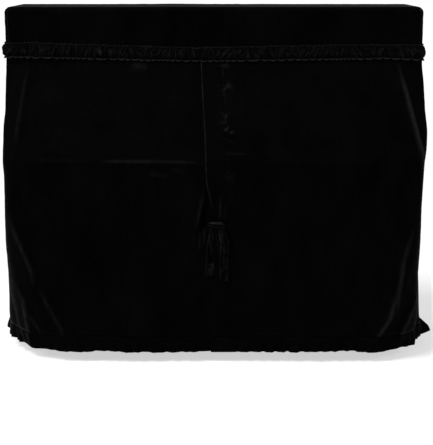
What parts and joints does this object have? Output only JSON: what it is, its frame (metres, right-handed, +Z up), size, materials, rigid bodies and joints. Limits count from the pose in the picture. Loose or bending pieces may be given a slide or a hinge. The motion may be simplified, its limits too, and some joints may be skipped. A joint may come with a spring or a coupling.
{
  "type": "piano cover",
  "caption": "Fitted black velvet dust cover for an upright piano, with a ruched band, lapped front curtains drawn together by a tie, and a gathered hem.",
  "frame": {"origin": "centre of the underside of the top, where the cover lies on the piano's lid", "axes": "+Z up, +X to the right of someone facing the piano's front, the front at -Y"},
  "size_m": [1.6351, 0.6859, 1.2337],
  "materials": {
    "velvet": "black velvet, short dense pile, deep matt with a faint grey sheen on folds and edges",
    "band_velvet": "black velvet ruched into fine upright gathers between two stitched lines",
    "frill_velvet": "black velvet strip gathered along its top edge, hem left soft",
    "tie_velvet": "black velvet straps, sewn flat and tied in a soft bow"
  },
  "bodies": {
    "root": {"top_panel": "velvet", "front_fall": "velvet", "left_fall": "velvet", "right_fall": "velvet", "back_fall": "velvet", "ruched_band": "band_velvet", "left_skirt": "velvet", "right_skirt": "velvet", "back_panel": "velvet", "left_frill": "frill_velvet", "right_frill": "frill_velvet", "back_frill": "frill_velvet", "tie_knot": "tie_velvet", "tie_loop_left": "tie_velvet", "tie_loop_right": "tie_velvet", "tie_tail_left": "tie_velvet", "tie_tail_right": "tie_velvet"}
  },
  "joints": []
}
